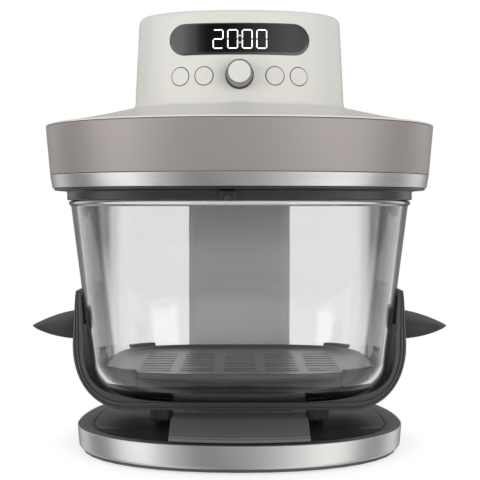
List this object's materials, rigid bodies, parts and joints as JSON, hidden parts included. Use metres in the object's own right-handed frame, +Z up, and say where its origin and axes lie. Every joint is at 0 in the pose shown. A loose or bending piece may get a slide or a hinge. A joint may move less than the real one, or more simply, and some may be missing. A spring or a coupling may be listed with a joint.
{
  "type": "glass air fryer",
  "caption": "Countertop glass air fryer: a glass bowl in a cradle slides out between a round base and a fixed head with display, knob and buttons.",
  "frame": {"origin": "centre of the bounding box at its bottom, on the surface that the feet stand on", "axes": "+Z up, front with the display towards -Y, +X to the right seen from the front"},
  "size_m": [0.305, 0.297, 0.3155],
  "materials": {
    "stone_white": "satin",
    "taupe_coat": "satin metallic",
    "brushed_steel": "brushed",
    "dark_plastic": "fine grain",
    "ring_plastic": "fine grain",
    "bronze_plate": "brushed and tinted",
    "grey_plastic": "fine grain",
    "rubber": "matt",
    "silicone": "matt",
    "clear_glass": "clear",
    "screen": "gloss",
    "knob_metal": "satin",
    "aluminium": "plain",
    "heater_tube": "heat darkened",
    "nonstick_plate": "non-stick coat",
    "circuit_board": "plain"
  },
  "bodies": {
    "root": {"base_pan": "dark_plastic", "base_band": "brushed_steel", "base_ring": "ring_plastic", "base_plate": "bronze_plate", "foot_front_left": "rubber", "foot_front_right": "rubber", "foot_rear_left": "rubber", "foot_rear_right": "rubber", "lever_pin": "brushed_steel", "column_front": "grey_plastic", "column_rear": "dark_plastic", "column_post": "brushed_steel", "cord_gland": "rubber", "skirt": "dark_plastic", "gasket": "silicone", "trim_ring": "brushed_steel", "collar": "taupe_coat", "head_cover": "stone_white", "display_window": "screen", "interlock_housing": "dark_plastic", "knob_encoder": "dark_plastic", "control_board": "circuit_board", "heater_pan": "aluminium", "heater_guard": "brushed_steel", "heater_coil": "heater_tube", "motor": "aluminium", "motor_bracket": "brushed_steel"},
    "lever_body": {"lever": "dark_plastic"},
    "platform_body": {"lift_platform": "dark_plastic"},
    "container": {"glass_bowl": "clear_glass", "cradle": "dark_plastic", "ear_left": "dark_plastic", "ear_right": "dark_plastic", "arm_pad_left": "silicone", "arm_pad_right": "silicone", "cradle_foot_front_left": "rubber", "cradle_foot_front_right": "rubber", "cradle_foot_rear_left": "rubber", "cradle_foot_rear_right": "rubber"},
    "crisper": {"crisper_plate": "nonstick_plate", "clip_front_left": "silicone", "clip_front_right": "silicone", "clip_rear_left": "silicone", "clip_rear_right": "silicone"},
    "knob_body": {"knob": "knob_metal", "knob_cap": "stone_white", "knob_shaft": "brushed_steel"},
    "button_outer_left_body": {"button_outer_left": "stone_white"},
    "button_inner_left_body": {"button_inner_left": "stone_white"},
    "button_inner_right_body": {"button_inner_right": "stone_white"},
    "button_outer_right_body": {"button_outer_right": "stone_white"},
    "fan_body": {"fan": "aluminium", "fan_shaft": "brushed_steel", "cooling_fan": "dark_plastic"},
    "finger_body": {"interlock_finger": "rubber"}
  },
  "joints": [
    {"name": "lever_lift", "type": "hinge", "parent": "root", "child": "lever_body", "pos_m": [0, -0.0615, 0.012], "axis": [-1, 0, 0], "range_deg": [0, 10]},
    {"name": "platform_drop", "type": "slide", "parent": "root", "child": "platform_body", "axis": [0, 0, -1], "range_m": [0, 0.0028]},
    {"name": "container_slide", "type": "slide", "parent": "platform_body", "child": "container", "axis": [0, -1, 0], "range_m": [0, 0.25]},
    {"name": "crisper_lift", "type": "slide", "parent": "container", "child": "crisper", "axis": [0, 0, 1], "range_m": [0, 0.108]},
    {"name": "knob_turn", "type": "hinge", "parent": "root", "child": "knob_body", "pos_m": [0, -0.06571, 0.2681], "axis": [0, -0.9954, 0.0956], "continuous": true},
    {"name": "button_outer_left_press", "type": "slide", "parent": "root", "child": "button_outer_left_body", "axis": [0.3886, 0.9173, -0.0865], "range_m": [0, 0.0012], "stiffness_N_per_m": 500},
    {"name": "button_inner_left_press", "type": "slide", "parent": "root", "child": "button_inner_left_body", "axis": [0.2019, 0.975, -0.0929], "range_m": [0, 0.0012], "stiffness_N_per_m": 500},
    {"name": "button_inner_right_press", "type": "slide", "parent": "root", "child": "button_inner_right_body", "axis": [-0.2019, 0.975, -0.0929], "range_m": [0, 0.0012], "stiffness_N_per_m": 500},
    {"name": "button_outer_right_press", "type": "slide", "parent": "root", "child": "button_outer_right_body", "axis": [-0.3886, 0.9173, -0.0865], "range_m": [0, 0.0012], "stiffness_N_per_m": 500},
    {"name": "fan_spin", "type": "hinge", "parent": "root", "child": "fan_body", "pos_m": [0, -0.0115, 0.211], "axis": [0, 0, 1], "continuous": true},
    {"name": "finger_press", "type": "slide", "parent": "root", "child": "finger_body", "axis": [0, 0, 1], "range_m": [0, 0.0018], "stiffness_N_per_m": 200}
  ],
  "couplings": [
    {"joint": "lever_lift", "follows": "platform_drop", "rad_per_m": 62.33}
  ]
}
